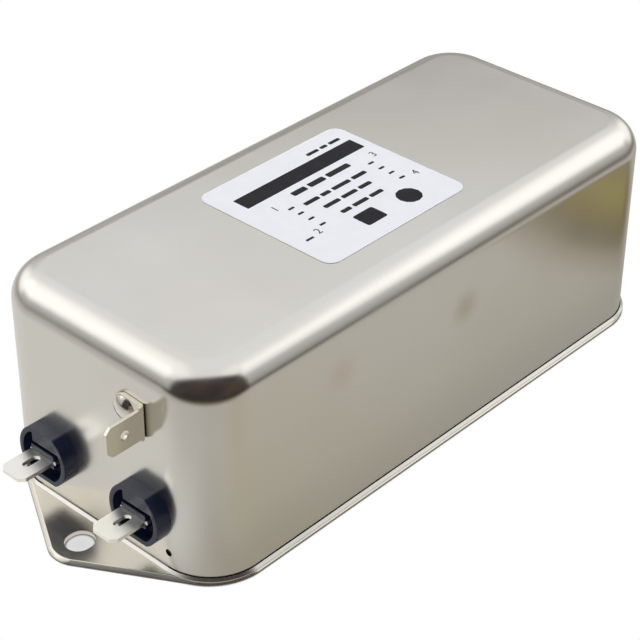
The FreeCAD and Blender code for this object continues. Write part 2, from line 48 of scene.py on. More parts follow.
MM = 0.001
CUT_MARGIN = 1.0 * MM
MERGE_DISTANCE = 0.002 * MM
FLAT_WITHIN = math.radians(0.5)
EASED_ABOVE = math.radians(40)

# Sizes read from the CAD model
plate_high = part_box("base_plate")[1]
can_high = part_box("can")[1]
tab_low, tab_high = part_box("tab_load_right")
bushing_low, bushing_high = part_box("bushing_load_right")
rivet_low, rivet_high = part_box("earth_rivet")
label_low, label_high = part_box("rating_label")

# Can and plate
SHEET = 0.6 * MM
FLANGE = 0.7 * MM
FLANGE_EDGE = 0.46 * MM
SEAM_WIDTH = 0.19 * MM
SEAM_DEPTH = 0.25 * MM
CORNER_RADIUS = 11.2 * MM
FOOT_RADIUS = CORNER_RADIUS + FLANGE
TOP_RADIUS = 6.1 * MM
WALL_X = can_high.x - FLANGE
WALL_Y = can_high.y - FLANGE
PLATE_TOP = plate_high.z
FLANGE_TOP = PLATE_TOP + SHEET
ROOF = can_high.z
PLATE_EDGE_WIDTH = 0.72 * MM
PLATE_EDGE_HEIGHT = 0.65 * MM
PLATE_EDGE_ROUND = 0.1 * MM
EAR_TIP_RADIUS = 6.0 * MM
EAR_HOLE_X = plate_high.x - EAR_TIP_RADIUS
EAR_SLOT_WIDTH = 5.3 * MM
EAR_SLOT_LENGTH = 5.9 * MM
PIP_PLACE = Vector((-WALL_X, -17.7 * MM, 4.9 * MM))
PIP_RADIUS = 0.75 * MM

# Terminals
TAB_THICKNESS = tab_high.z - tab_low.z
TERMINAL_Z = (tab_low.z + tab_high.z) / 2
TERMINAL_Y = (tab_low.y + tab_high.y) / 2
BUSHING_RADIUS = (bushing_high.y - bushing_low.y) / 2
BUSHING_HALF_FLAT = (bushing_high.z - bushing_low.z) / 2
BUSHING_REACH = bushing_high.x - WALL_X
BUSHING_WALL = 1.0 * MM
BUSHING_FLOOR = 0.6 * MM
BUSHING_EDGE_ROUND = 0.16 * MM
TERMINAL_HOLE_PLAY = 0.1 * MM
BLOCK_LEFT = 2.8 * MM
BLOCK_BOTTOM = 2.25 * MM
BLOCK_RECESS = 0.25 * MM
BLOCK_OVERLAP = 0.4 * MM
BLOCK_EDGE_ROUND = 0.1 * MM
LIP_HALF_WIDTH = 3.1 * MM
LIP_TOP = 1.55 * MM
LIP_RECESS = 0.1 * MM
LIP_EDGE_ROUND = 0.15 * MM
LIP_TAB_PLAY = 0.02 * MM
NECK_INSET = 1.35 * MM
NECK_REACH = 3.0 * MM
TAB_WIDTH = 6.3 * MM
TAB_CHAMFER = 1.1 * MM
TAB_SHOULDER_WIDTH = tab_high.y - tab_low.y
TAB_SHOULDER_BACK = 0.65 * MM
TAB_SHOULDER_REACH = 3.0 * MM
TAB_SHANK_WIDTH = 4.4 * MM
TAB_SLOT_START = 3.8 * MM
TAB_SLOT_LENGTH = 3.8 * MM
TAB_SLOT_WIDTH = 1.6 * MM
TAB_EDGE_ROUND = 0.09 * MM
EARTH_EDGE_ROUND = 0.08 * MM
RIVET_MIDDLE = (rivet_low + rivet_high) / 2
RIVET_SHANK_RADIUS = 1.6 * MM
RIVET_HEAD_RADIUS = 2.55 * MM
RIVET_HEAD_HEIGHT = 1.2 * MM
RIVET_HEAD_EDGE = 0.15 * MM
RIVET_UPSET_HEIGHT = 0.6 * MM
DOME_RINGS = 9

# Label
LABEL_THICKNESS = label_high.z - label_low.z
PRINT_THICKNESS = 0.01 * MM
PRINT_BASE = label_high.z - PRINT_THICKNESS
LABEL_CORNER_RADIUS = 2.6 * MM
NUMBER_HEIGHT = 1.9 * MM
FIGURE_SHARE_OF_TYPE = 0.72


# Small helpers for modelling by hand

def deselect():
    bpy.ops.object.select_all(action="DESELECT")


def pick(piece):
    """Makes a piece the only one selected."""
    deselect()
    bpy.context.view_layer.objects.active = piece
    piece.select_set(True)


def name_new(name):
    piece = bpy.context.active_object
    piece.name = name
    piece.data.name = name
    return piece


def new_box(name, low, high):
    deselect()
    bpy.ops.mesh.primitive_cube_add(size=1)
    piece = name_new(name)
    edit(piece)
    select_all()
    bpy.ops.transform.resize(value=[h - l for l, h in zip(low, high)])
    bpy.ops.transform.translate(value=[(l + h) / 2 for l, h in zip(low, high)])
    done()
    return piece


def new_rod(name, radius, start, end, sides=96):
    """Round bar between two points, along X, Y or Z."""
    start, end = Vector(start), Vector(end)
    axis = end - start
    deselect()
    bpy.ops.mesh.primitive_cylinder_add(vertices=sides, radius=radius, depth=axis.length,
                                        location=(start + end) / 2,
                                        rotation=axis.to_track_quat("Z", "Y").to_euler())
    piece = name_new(name)
    bpy.ops.object.transform_apply(location=True, rotation=True, scale=True)
    return piece


def new_sheet(name, half_x, half_y, z):
    """Flat rectangle to be shaped and thickened."""
    deselect()
    bpy.ops.mesh.primitive_plane_add(size=2)
    piece = name_new(name)
    edit(piece)
    select_all()
    bpy.ops.transform.resize(value=(half_x, half_y, 1))
    bpy.ops.transform.translate(value=(0, 0, z))
    done()
    return piece


def edit(piece, mode="FACE"):
    pick(piece)
    bpy.ops.object.mode_set(mode="EDIT")
    bpy.ops.mesh.select_mode(type=mode)


def done():
    bpy.ops.object.mode_set(mode="OBJECT")


def select_all():
    bpy.ops.mesh.select_all(action="SELECT")


def select_where(piece, kind, test):
    """Selects the points, edges or faces that pass the test."""
    bpy.ops.mesh.select_mode(type=kind)
    bpy.ops.mesh.select_all(action="DESELECT")
    mesh = bmesh.from_edit_mesh(piece.data)
    for part in {"VERT": mesh.verts, "EDGE": mesh.edges, "FACE": mesh.faces}[kind]:
        if test(part):
            part.select_set(True)
    bmesh.update_edit_mesh(piece.data)


def select_faces(piece, test):
    """Selects the faces whose centre and normal pass the test."""
    select_where(piece, "FACE", lambda face: test(face.calc_center_median(), face.normal))


def select_edges(piece, test):
    """Selects the edges whose two ends pass the test."""
    select_where(piece, "EDGE", lambda edge: test(edge.verts[0].co, edge.verts[1].co))


def select_points(piece, test):
    select_where(piece, "VERT", lambda point: test(point.co))


def near(a, b):
    """Whether two lengths are the same to a few thousandths of a millimetre."""
    return abs(a - b) < 0.005 * MM


def push(vector):
    """Extrudes what is selected along a vector."""
    bpy.ops.mesh.extrude_region_move(TRANSFORM_OT_translate={"value": vector})


def round_corners(radius, steps):
    """Rounds the selected corners of a flat sheet."""
    bpy.ops.mesh.bevel(offset=radius, segments=steps, affect="VERTICES", clamp_overlap=False)


def bevel_edges(width, steps):
    """Bevels the selected edges."""
    bpy.ops.mesh.bevel(offset=width, segments=steps, affect="EDGES", clamp_overlap=False)


def face_outwards():
    """Selects the whole piece and turns its faces outwards."""
    select_all()
    bpy.ops.mesh.normals_make_consistent(inside=False)


def slice_off(point, normal):
    """Cuts everything beyond a plane away and closes the cut."""
    select_all()
    bpy.ops.mesh.bisect(plane_co=point, plane_no=normal, clear_outer=True, use_fill=True)


def apply_all(piece):
    pick(piece)
    for modifier in list(piece.modifiers):
        bpy.ops.object.modifier_apply(modifier=modifier.name)


def soften_edges(piece, width, segments=2):
    """Eases every edge where the faces turn by more than a set angle."""
    modifier = piece.modifiers.new("edges", "BEVEL")
    modifier.width = width
    modifier.segments = segments
    modifier.limit_method = "ANGLE"
    modifier.angle_limit = EASED_ABOVE
    modifier.use_clamp_overlap = True
    apply_all(piece)


def cut_with(piece, cutters):
    for cutter in cutters:
        modifier = piece.modifiers.new("cut", "BOOLEAN")
        modifier.operation = "DIFFERENCE"
        modifier.solver = "EXACT"
        modifier.object = cutter
        apply_all(piece)
        bpy.data.objects.remove(cutter)


def smooth(piece, angle=35):
    """Smooth shading up to an angle between faces, with flat faces kept flat."""
    pick(piece)
    bpy.ops.object.shade_smooth_by_angle(angle=math.radians(angle))
    modifier = piece.modifiers.new("flat_faces", "WEIGHTED_NORMAL")
    modifier.keep_sharp = True
    modifier.weight = 100
    apply_all(piece)


def join(pieces, name):
    deselect()
    for piece in pieces:
        piece.select_set(True)
    bpy.context.view_layer.objects.active = pieces[0]
    bpy.ops.object.join()
    return name_new(name)


def copy_placed(piece, name, matrix):
    """Copy with its own mesh, and its place in the mesh."""
    twin = piece.copy()
    twin.data = piece.data.copy()
    twin.name = name
    twin.data.name = name
    bpy.context.scene.collection.objects.link(twin)
    twin.data.transform(matrix)
    return twin


def capsule(name, centre, length, width, z_low, z_high):
    """Round-ended upright cutter, long side along X."""
    cutter = new_sheet(name, length / 2, width / 2, z_low)
    edit(cutter)
    select_all()
    # Just under half the width, so that neighbouring arcs end on points of their own
    round_corners(width / 2 * 0.999, steps=16)
    select_all()
    push((0, 0, z_high - z_low))
    face_outwards()
    bpy.ops.transform.translate(value=centre)
    done()
    return cutter


def own(piece, node):
    """The piece rides on the only body and stands for its CAD node."""
    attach(piece, "root")
    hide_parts(node)
    return piece


# Pieces

def beyond_wall(point):
    """How far a point lies outside the can's upright wall, seen from above."""
    past_x = max(abs(point.x) - WALL_X + CORNER_RADIUS, 0)
    past_y = max(abs(point.y) - WALL_Y + CORNER_RADIUS, 0)
    return Vector((past_x, past_y)).length - CORNER_RADIUS


def on_rim(point):
    """Whether a point is on the top edge of the flange."""
    return near(point.z, FLANGE_TOP) and beyond_wall(point) > FLANGE * 0.95


def model_can():
    """Drawn shell, open below, with a flange and a fine groove at its foot."""
    can = new_sheet("can_shell", can_high.x, can_high.y, FLANGE_TOP)
    edit(can)
    select_all()
    round_corners(FOOT_RADIUS, steps=28)
    bpy.ops.mesh.select_mode(type="FACE")
    select_all()
    # Flange, then the strip that becomes the groove, then the wall
    bpy.ops.mesh.inset(thickness=FLANGE - SEAM_WIDTH, use_even_offset=True)
    bpy.ops.mesh.inset(thickness=SEAM_WIDTH, use_even_offset=True)
    push((0, 0, ROOF - FLANGE_TOP))
    select_edges(can, lambda a, b: near(a.z, ROOF) and near(b.z, ROOF))
    bevel_edges(TOP_RADIUS, steps=18)
    face_outwards()
    done()
    wall = can.modifiers.new("wall", "SOLIDIFY")
    wall.thickness = SHEET
    wall.offset = -1
    wall.use_even_offset = True
    apply_all(can)
    edit(can)
    select_edges(can, lambda a, b: on_rim(a) and on_rim(b))
    bevel_edges(FLANGE_EDGE, steps=1)
    select_faces(can, lambda c, n: near(c.z, FLANGE_TOP) and n.z > 0.9 and abs(beyond_wall(c)) < SEAM_WIDTH)
    push((0, 0, -SEAM_DEPTH))
    done()
    reach = 2 * CUT_MARGIN
    half_cutter = Vector((reach, 0, 0))
    cutters = [new_rod("pip", PIP_RADIUS, PIP_PLACE - half_cutter, PIP_PLACE + half_cutter, sides=24)]
    for side in (1, -1):
        for end in (1, -1):
            x = end * WALL_X
            cutters.append(new_rod("terminal_hole", BUSHING_RADIUS - NECK_INSET + TERMINAL_HOLE_PLAY,
                                   (x - reach, side * TERMINAL_Y, TERMINAL_Z),
                                   (x + reach, side * TERMINAL_Y, TERMINAL_Z), sides=48))
    cut_with(can, cutters)
    smooth(can)
    return own(can, "can")


def plate_slant():
    """Normal and distance of the line that joins a corner arc and an ear tip."""
    corner = Vector((WALL_X - CORNER_RADIUS, WALL_Y - CORNER_RADIUS))
    tip = Vector((EAR_HOLE_X, 0))
    along = tip - corner
    turn = math.atan2(along.y, along.x) + math.acos((FOOT_RADIUS - EAR_TIP_RADIUS) / along.length)
    normal = Vector((math.cos(turn), math.sin(turn)))
    return normal, normal.dot(corner) + FOOT_RADIUS


def model_base_plate():
    """Flat plate, its ends drawn out to pointed ears with a slotted hole each."""
    normal, distance = plate_slant()
    corner_x = (distance - normal.y * can_high.y) / normal.x
    tip_x = distance / normal.x
    plate = new_sheet("base_plate_sheet", corner_x, can_high.y, 0)
    # The middle of each end is drawn out to a point
    edit(plate, "EDGE")
    select_edges(plate, lambda a, b: near(a.x, b.x))
    bpy.ops.mesh.subdivide(number_cuts=1)
    for end in (1, -1):
        select_points(plate, lambda p: near(p.x, end * corner_x) and near(p.y, 0))
        bpy.ops.transform.translate(value=(end * (tip_x - corner_x), 0, 0))
    select_edges(plate, lambda a, b: near(a.y, 0) and near(b.y, 0))
    bpy.ops.mesh.dissolve_edges(use_verts=False)
    # Round corners that follow the flange, and round ear tips
    corner_turn = math.acos(normal.y)
    tip_turn = 2 * math.asin(normal.y)
    select_points(plate, lambda p: not near(p.y, 0))
    round_corners(FOOT_RADIUS * math.tan(corner_turn / 2), steps=20)
    select_points(plate, lambda p: near(abs(p.x), tip_x))
    round_corners(EAR_TIP_RADIUS * math.tan(tip_turn / 2), steps=24)
    # Upright edge below, then a slope up to the top face
    select_all()
    push((0, 0, PLATE_TOP - PLATE_EDGE_HEIGHT))
    bpy.ops.mesh.select_mode(type="FACE")
    bpy.ops.mesh.inset(thickness=PLATE_EDGE_WIDTH, depth=PLATE_EDGE_HEIGHT, use_even_offset=True)
    face_outwards()
    done()
    cut_with(plate, [capsule("ear_slot", (end * EAR_HOLE_X, 0, 0), EAR_SLOT_LENGTH, EAR_SLOT_WIDTH,
                             -CUT_MARGIN, PLATE_TOP + CUT_MARGIN) for end in (1, -1)])
    soften_edges(plate, PLATE_EDGE_ROUND)
    smooth(plate)
    return own(plate, "base_plate")


def double_d(name, radius, half_flat, x_low, x_high):
    """Round bar along X with a flat above and below."""
    bar = new_rod(name, radius, (x_low, 0, 0), (x_high, 0, 0))
    edit(bar)
    slice_off((0, 0, half_flat), (0, 0, 1))
    slice_off((0, 0, -half_flat), (0, 0, -1))
    done()
    return bar


def model_bushing():
    """One bushing about its middle, X outward from the can's wall."""
    # Cup with a thin wall, and a narrower neck through the can's wall
    cup = double_d("cup", BUSHING_RADIUS, BUSHING_HALF_FLAT, 0, BUSHING_REACH)
    edit(cup)
    select_faces(cup, lambda c, n: n.x > 0.9)
    bpy.ops.mesh.inset(thickness=BUSHING_WALL, use_even_offset=True)
    push((BUSHING_FLOOR - BUSHING_REACH, 0, 0))
    select_faces(cup, lambda c, n: n.x < -0.9)
    bpy.ops.mesh.inset(thickness=NECK_INSET, use_even_offset=True)
    push((-NECK_REACH, 0, 0))
    done()
    soften_edges(cup, BUSHING_EDGE_ROUND, segments=3)

    # Block across the top of the cup, with a gap at its left
    cavity_growth = BLOCK_OVERLAP - BUSHING_WALL
    block = double_d("block", BUSHING_RADIUS + cavity_growth, BUSHING_HALF_FLAT + cavity_growth,
                     BUSHING_FLOOR / 2, BUSHING_REACH - BLOCK_RECESS)
    edit(block)
    slice_off((0, 0, BLOCK_BOTTOM), (0, 0, -1))
    slice_off((0, -BLOCK_LEFT, 0), (0, -1, 0))
    done()
    soften_edges(block, BLOCK_EDGE_ROUND)

    # Lips that grip the tab from above and below
    half_tab = TAB_THICKNESS / 2 + LIP_TAB_PLAY
    front = BUSHING_REACH - LIP_RECESS
    lips = []
    for low, high in ((half_tab, LIP_TOP), (-LIP_TOP, -half_tab)):
        lip = new_box("lip", (BUSHING_FLOOR / 2, -LIP_HALF_WIDTH, low), (front, LIP_HALF_WIDTH, high))
        soften_edges(lip, LIP_EDGE_ROUND)
        lips.append(lip)
    bushing = join([cup, block] + lips, "bushing")
    smooth(bushing)
    return bushing


def model_tab():
    """One push-on tab about its middle, X outward from the can's wall."""
    half = TAB_THICKNESS / 2
    reach = tab_high.x - WALL_X
    tail = WALL_X - tab_low.x
    tab = new_box("tab", (TAB_SHOULDER_REACH, -TAB_WIDTH / 2, -half), (reach, TAB_WIDTH / 2, half))
    edit(tab)
    select_edges(tab, lambda a, b: near(a.x, reach) and near(b.x, reach) and near(a.y, b.y))
    bevel_edges(TAB_CHAMFER, steps=1)
    # Wider shoulders, then the narrow shank
    width = TAB_WIDTH
    for next_width, step in ((TAB_SHOULDER_WIDTH, TAB_SHOULDER_BACK - TAB_SHOULDER_REACH),
                             (TAB_SHANK_WIDTH, -tail - TAB_SHOULDER_BACK)):
        select_faces(tab, lambda c, n: n.x < -0.9 and near(c.y, 0))
        bpy.ops.mesh.extrude_region_move()
        bpy.ops.transform.resize(value=(1, next_width / width, 1))
        push((step, 0, 0))
        width = next_width
    done()
    cutter = capsule("tab_slot", (TAB_SLOT_START + TAB_SLOT_LENGTH / 2, 0, 0), TAB_SLOT_LENGTH,
                     TAB_SLOT_WIDTH, -CUT_MARGIN, CUT_MARGIN)
    cut_with(tab, [cutter])
    soften_edges(tab, TAB_EDGE_ROUND)
    smooth(tab)
    return tab


def place_terminals(bushing, tab):
    """Four copies of each, two at the load end and two turned round to the line end."""
    half_turn = Matrix.Rotation(math.pi, 4, "Z")
    for end in ("line", "load"):
        for hand, side in (("left", -1), ("right", 1)):
            place = Matrix.Translation((WALL_X, side * TERMINAL_Y, TERMINAL_Z))
            if end == "line":
                place = half_turn @ place
            name = "%s_%s" % (end, hand)
            own(copy_placed(bushing, "bushing_body_" + name, place), "bushing_" + name)
            own(copy_placed(tab, "tab_blade_" + name, place), "tab_" + name)
    for pattern in (bushing, tab):
        bpy.data.objects.remove(pattern)


def cleaned_copy(node, name, edge_width):
    """A CAD node's own shape with its triangles merged and its edges eased."""
    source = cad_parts[node]
    piece = source.copy()
    piece.data = source.data.copy()
    for key in list(piece.keys()):
        del piece[key]
    piece.parent = None
    bpy.context.scene.collection.objects.link(piece)
    piece.name = name
    piece.data.name = name
    edit(piece, "VERT")
    select_all()
    bpy.ops.mesh.remove_doubles(threshold=MERGE_DISTANCE)
    bpy.ops.mesh.dissolve_limited(angle_limit=FLAT_WITHIN)
    done()
    soften_edges(piece, edge_width)
    smooth(piece)
    return own(piece, node)


def model_rivet():
    """Domed head on the earth tab's foot, shank through the can, upset end inside."""
    head_back = -WALL_X - TAB_THICKNESS
    inside = rivet_high.x
    side, height = RIVET_MIDDLE.y, RIVET_MIDDLE.z
    rivet = new_rod("rivet_body", RIVET_HEAD_RADIUS, (head_back, side, height),
                    (head_back - RIVET_HEAD_EDGE, side, height), sides=64)
    edit(rivet)
    rise = RIVET_HEAD_HEIGHT - RIVET_HEAD_EDGE
    dome_radius = (RIVET_HEAD_RADIUS ** 2 + rise ** 2) / (2 * rise)
    widest = math.asin(RIVET_HEAD_RADIUS / dome_radius)
    # The last ring stops just short of the middle and leaves a tiny flat there
    crown = DOME_RINGS - 0.04
    select_faces(rivet, lambda c, n: n.x < -0.9)
    for ring in range(DOME_RINGS):
        outer = widest * (1 - ring / DOME_RINGS)
        inner = widest * (1 - min(ring + 1, crown) / DOME_RINGS)
        bpy.ops.mesh.inset(thickness=dome_radius * (math.sin(outer) - math.sin(inner)),
                           depth=dome_radius * (math.cos(inner) - math.cos(outer)), use_even_offset=True)
    select_faces(rivet, lambda c, n: n.x > 0.9)
    bpy.ops.mesh.inset(thickness=RIVET_HEAD_RADIUS - RIVET_SHANK_RADIUS)
    push((inside - RIVET_UPSET_HEIGHT - head_back, 0, 0))
    bpy.ops.mesh.extrude_region_move()
    upset = (rivet_high.z - rivet_low.z) / 2 / RIVET_SHANK_RADIUS
    bpy.ops.transform.resize(value=(1, upset, upset))
    push((RIVET_UPSET_HEIGHT, 0, 0))
    done()
    smooth(rivet, angle=40)
    return own(rivet, "earth_rivet")


def model_label():
    """Thin film with round corners, a print's thickness short of the CAD label."""
    centre = (label_low + label_high) / 2
    half = (label_high - label_low) / 2
    label = new_sheet("label_sheet", half.x, half.y, label_low.z)
    edit(label)
    select_all()
    round_corners(LABEL_CORNER_RADIUS, steps=12)
    select_all()
    bpy.ops.transform.translate(value=(centre.x, centre.y, 0))
    push((0, 0, LABEL_THICKNESS - PRINT_THICKNESS))
    face_outwards()
    done()
    smooth(label)
    return own(label, "rating_label")


def print_patch(left, right, low, high, corner=0.15 * MM):
    """Flat field of ink on the label, its corners a little round."""
    patch = new_sheet("ink_patch", (right - left) / 2, (high - low) / 2, PRINT_BASE)
    edit(patch)
    select_all()
    round_corners(corner, steps=3)
    select_all()
    bpy.ops.transform.translate(value=((left + right) / 2, (low + high) / 2, 0))
    push((0, 0, PRINT_THICKNESS))
    done()
    return patch


def print_number(number, x, y):
    """Plain terminal number, its middle at a place on the label."""
    deselect()
    bpy.ops.object.text_add()
    type_curve = bpy.context.active_object.data
    type_curve.body = str(number)
    type_curve.size = NUMBER_HEIGHT / FIGURE_SHARE_OF_TYPE
    type_curve.resolution_u = 6
    bpy.ops.object.convert(target="MESH")
    figure = name_new("ink_number")
    edit(figure)
    select_all()
    across = [point.co.x for point in figure.data.vertices]
    upward = [point.co.y for point in figure.data.vertices]
    bpy.ops.transform.translate(value=(x - (min(across) + max(across)) / 2,
                                       y - (min(upward) + max(upward)) / 2, PRINT_BASE))
    push((0, 0, PRINT_THICKNESS))
    face_outwards()
    done()
    return figure


def model_print():
    """Bare bar, rows of short filler bars, plain terminal numbers, a square and a dot."""
    bar = print_patch(-18.2 * MM, 14.9 * MM, 7.7 * MM, 11.8 * MM)
    patches = [bar]
    # Each row's middle and height, and where its short bars begin and end, in millimetres
    rows = [(5.2, 1.5, [(-8.7, -4.9), (-4.1, 0.3), (1.1, 7.4)]),
            (1.0, 1.1, [(-9.8, -5.8), (-5.1, -2.6), (-1.9, 3.0), (3.7, 7.6)]),
            (-2.4, 1.1, [(-7.9, -3.6), (-2.9, 1.2), (1.9, 5.3)]),
            (-6.0, 1.1, [(-7.0, -4.4), (-3.7, 0.4), (1.1, 4.6)]),
            (13.6, 0.9, [(4.3, 7.6), (8.2, 10.1), (10.7, 13.8)])]
    for middle, height, spans in rows:
        low, high = (middle - height / 2) * MM, (middle + height / 2) * MM
        for left, right in spans:
            patches.append(print_patch(left * MM, right * MM, low, high, corner=0.3 * MM))
    # Dashes beside the numbers: the middle of each column, and the middle of each dash in it
    half_length, half_height = 0.75, 0.3
    columns = [(-12.5, (1.9, -0.6, -3.3, -6.2)),
               (10.8, (2.4, -0.35, -2.95, -5.65))]
    for column, places in columns:
        for middle in places:
            patches.append(print_patch((column - half_length) * MM, (column + half_length) * MM,
                                       (middle - half_height) * MM, (middle + half_height) * MM))
    square = print_patch(-7.0 * MM, -1.6 * MM, -13.0 * MM, -8.6 * MM, corner=0.5 * MM)
    dot = print_patch(3.9 * MM, 9.2 * MM, -13.75 * MM, -8.45 * MM, corner=2.6 * MM)
    lone_dash = print_patch(-19.0 * MM, -17.0 * MM, -8.4 * MM, -7.8 * MM)
    numbers = [(1, -14.8, 4.0), (2, -15.0, -7.3), (3, 13.7, 4.5), (4, 14.0, -6.2)]
    figures = [print_number(number, x * MM, y * MM) for number, x, y in numbers]
    ink = join(patches + [square, dot, lone_dash] + figures, "label_print")
    smooth(ink)
    return own(ink, "rating_label")


# Looks

# The Mix node's colour sockets share their names with its other kinds, so they go by number
MIX_FIRST, MIX_SECOND, MIX_RESULT = 6, 7, 2


def shader(name):
    material = bpy.data.materials.new(name)
    material.use_nodes = True
    nodes = material.node_tree.nodes
    return material, nodes, material.node_tree.links, nodes["Principled BSDF"]


def object_place(nodes):
    return nodes.new("ShaderNodeTexCoord").outputs["Object"]


def vector_step(nodes, links, operation, value):
    """Vector Math node that works on a value."""
    node = nodes.new("ShaderNodeVectorMath")
    node.operation = operation
    links.new(value, node.inputs[0])
    return node


def distance_from(nodes, links, place, point):
    away = vector_step(nodes, links, "DISTANCE", place)
    away.inputs[1].default_value = point
    return away.outputs["Value"]


def noise(nodes, links, scale, detail=3):
    texture = nodes.new("ShaderNodeTexNoise")
    texture.inputs["Scale"].default_value = scale
    texture.inputs["Detail"].default_value = detail
    links.new(object_place(nodes), texture.inputs["Vector"])
    return texture.outputs["Fac"]


def remap(nodes, links, value, low, high, new_low=0, new_high=1, fade="LINEAR"):
    """Moves values from one range to another, and holds those beyond its ends."""
    node = nodes.new("ShaderNodeMapRange")
    node.interpolation_type = fade
    node.inputs["From Min"].default_value = low
    node.inputs["From Max"].default_value = high
    node.inputs["To Min"].default_value = new_low
    node.inputs["To Max"].default_value = new_high
    links.new(value, node.inputs["Value"])
    return node.outputs["Result"]


def spread(nodes, links, value, low, high):
    """Turns noise between 0.3 and 0.7 into a range of plain values."""
    return remap(nodes, links, value, 0.3, 0.7, low, high)


def ramp_between(nodes, links, value, steps):
    """Colour ramp over pairs of a value and a colour."""
    first, last = steps[0][0], steps[-1][0]
    share = remap(nodes, links, value, first, last)
    ramp = nodes.new("ShaderNodeValToRGB")
    ramp.color_ramp.interpolation = "EASE"
    while len(ramp.color_ramp.elements) < len(steps):
        ramp.color_ramp.elements.new(0.5)
    for element, (at, colour) in zip(ramp.color_ramp.elements, steps):
        element.position = (at - first) / (last - first)
        element.color = (*colour, 1)
    links.new(share, ramp.inputs["Fac"])
    return ramp.outputs["Color"]


def ramp_along(nodes, links, direction, steps):
    """Colours at distances along a direction on the table, in metres."""
    along = vector_step(nodes, links, "DOT_PRODUCT", object_place(nodes))
    along.inputs[1].default_value = (*direction, 0)
    return ramp_between(nodes, links, along.outputs["Value"], steps)


def colour_mix(nodes, method="MIX"):
    mix = nodes.new("ShaderNodeMix")
    mix.data_type = "RGBA"
    mix.blend_type = method
    return mix


def tint(nodes, links, value, first, second):
    """Colour between two set ones, by a value from 0 to 1."""
    mix = colour_mix(nodes)
    mix.inputs[MIX_FIRST].default_value = (*first, 1)
    mix.inputs[MIX_SECOND].default_value = (*second, 1)
    links.new(value, mix.inputs["Factor"])
    return mix.outputs[MIX_RESULT]


def blend(nodes, links, value, first, second):
    """Colour between two that vary, by a value from 0 to 1."""
    mix = colour_mix(nodes)
    links.new(value, mix.inputs["Factor"])
    links.new(first, mix.inputs[MIX_FIRST])
    links.new(second, mix.inputs[MIX_SECOND])
    return mix.outputs[MIX_RESULT]


def multiply(nodes, links, first, second):
    mix = colour_mix(nodes, "MULTIPLY")
    mix.inputs["Factor"].default_value = 1
    links.new(first, mix.inputs[MIX_FIRST])
    links.new(second, mix.inputs[MIX_SECOND])
    return mix.outputs[MIX_RESULT]


def bump(nodes, links, height, strength, distance):
    node = nodes.new("ShaderNodeBump")
    node.inputs["Strength"].default_value = strength
    node.inputs["Distance"].default_value = distance
    links.new(height, node.inputs["Height"])
    return node.outputs["Normal"]


def openness(nodes, reach, samples):
    """One in the open, and less where another surface stands closer than the reach."""
    node = nodes.new("ShaderNodeAmbientOcclusion")
    node.samples = samples
    node.inputs["Distance"].default_value = reach
    return node.outputs["AO"]


def crevices(nodes, links, colour, reach):
    """Painted shade: darkens a colour where another surface stands closer than the reach."""
    share = ramp_between(nodes, links, openness(nodes, reach, samples=8),
                         [(0.2, (0.22, 0.19, 0.14)), (0.55, (0.85, 0.83, 0.80)), (0.8, (1, 1, 1))])
    return multiply(nodes, links, colour, share)


def nickel(name, pale, warm, rough, haze=0.02, reach=0, stains=()):
    """Satin plating: soft patches of warmth, a fine even grain, painted shade in the crevices, faint stains.
    """
    material, nodes, links, surface = shader(name)
    surface.inputs["Metallic"].default_value = 1 - haze
    patches = noise(nodes, links, scale=22, detail=2)
    colour = tint(nodes, links, spread(nodes, links, patches, 0, 1), pale, warm)
    # Painted shade where another surface stands close, when a reach is given
    if reach:
        colour = crevices(nodes, links, colour, reach)
    place = object_place(nodes)
    for spot, radius, shade in stains:
        fade = ramp_between(nodes, links, distance_from(nodes, links, place, spot),
                            [(0, shade), (radius, (1, 1, 1))])
        colour = multiply(nodes, links, colour, fade)
    links.new(colour, surface.inputs["Base Color"])
    gloss = noise(nodes, links, scale=60, detail=4)
    links.new(spread(nodes, links, gloss, *rough), surface.inputs["Roughness"])
    grain = noise(nodes, links, scale=9000, detail=2)
    links.new(bump(nodes, links, grain, strength=0.15, distance=0.01 * MM), surface.inputs["Normal"])
    return material


def mottled(name, first, second, rough, scales, relief, depth):
    """Two close shades, an uneven gloss and a fine grain, each with its own scale of noise."""
    material, nodes, links, surface = shader(name)
    shades, gloss, grain = [noise(nodes, links, scale) for scale in scales]
    links.new(tint(nodes, links, spread(nodes, links, shades, 0, 1), first, second),
              surface.inputs["Base Color"])
    links.new(spread(nodes, links, gloss, *rough), surface.inputs["Roughness"])
    links.new(bump(nodes, links, grain, relief, depth), surface.inputs["Normal"])
    return material, surface


def moulded(name, dark, light, rough, sheen_level=0.5):
    """Plastic, film, lacquer and the like."""
    material, surface = mottled(name, dark, light, rough, scales=(300, 700, 2500), relief=0.3,
                                depth=0.02 * MM)
    surface.inputs["Specular IOR Level"].default_value = sheen_level
    return material


def metal(name, first, second, rough, relief=0.2):
    """Copper, tin or solder."""
    material, surface = mottled(name, first, second, rough, scales=(250, 500, 4000), relief=relief,
                                depth=0.01 * MM)
    surface.inputs["Metallic"].default_value = 1
    return material


def paint(material, piece):
    piece.data.materials.clear()
    piece.data.materials.append(material)


def paint_faces(material, piece, chosen):
    """Gives the faces that pass a test a second material."""
    piece.data.materials.append(material)
    for face in piece.data.polygons:
        if chosen(face.center, face.normal):
            face.material_index = 1


def paint_bushing(bushing):
    """Glossy black moulding, with painted light on its upper flat: a lighter colour there."""
    paint(moulded("bushing_plastic", (0.007, 0.014, 0.045), (0.012, 0.022, 0.062), (0.26, 0.36),
                  sheen_level=0.42), bushing)
    flat = BUSHING_HALF_FLAT - 0.02 * MM
    # Painted light: the upper flat is painted lighter, for the sheen it takes from the bright room above
    painted_top_light = moulded("bushing_painted_top_light", (0.07, 0.08, 0.11), (0.09, 0.10, 0.13), (0.45, 0.55))
    paint_faces(painted_top_light, bushing, lambda centre, normal: normal.z > 0.95 and centre.z > flat)


